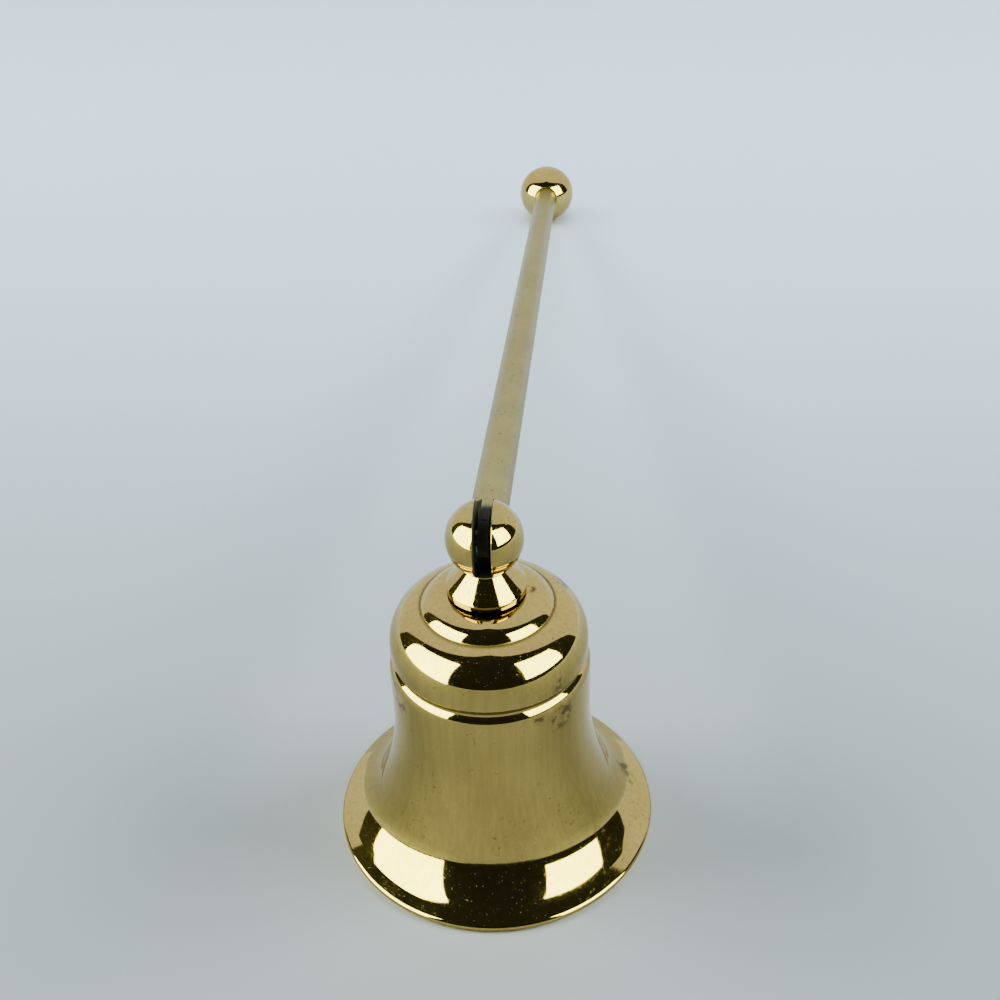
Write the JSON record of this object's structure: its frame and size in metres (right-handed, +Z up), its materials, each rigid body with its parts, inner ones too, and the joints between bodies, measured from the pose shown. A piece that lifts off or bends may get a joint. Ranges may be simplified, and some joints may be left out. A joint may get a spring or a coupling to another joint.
{
  "type": "candle snuffer",
  "caption": "Brass candle snuffer: a flared bell cup that smothers a flame, hung from a slotted ball hinge on a long round rod handle with a ball end.",
  "frame": {"origin": "centre of the bell's mouth, on the table that the rim stands on", "axes": "+Z up along the bell's axis, +Y from the hinge towards the handle's end, +X along the hinge pin"},
  "size_m": [0.044, 0.2248, 0.0532],
  "materials": {
    "polished_brass": "polished, with fine tarnish specks",
    "satin_brass": "drawn rod, worn to a satin",
    "brass_hardware": "dull, as machined"
  },
  "bodies": {
    "bell": {"bell_cup": "polished_brass", "hinge_knuckle": "polished_brass", "hinge_pin": "brass_hardware", "crown_washer": "brass_hardware", "crown_nut": "brass_hardware"},
    "handle": {"handle_rod": "satin_brass", "end_ball": "polished_brass"}
  },
  "joints": [
    {"name": "handle_hinge", "type": "hinge", "parent": "bell", "child": "handle", "pos_m": [0, 0, 0.0484], "axis": [1, 0, 0], "range_deg": [-11, 215]}
  ]
}
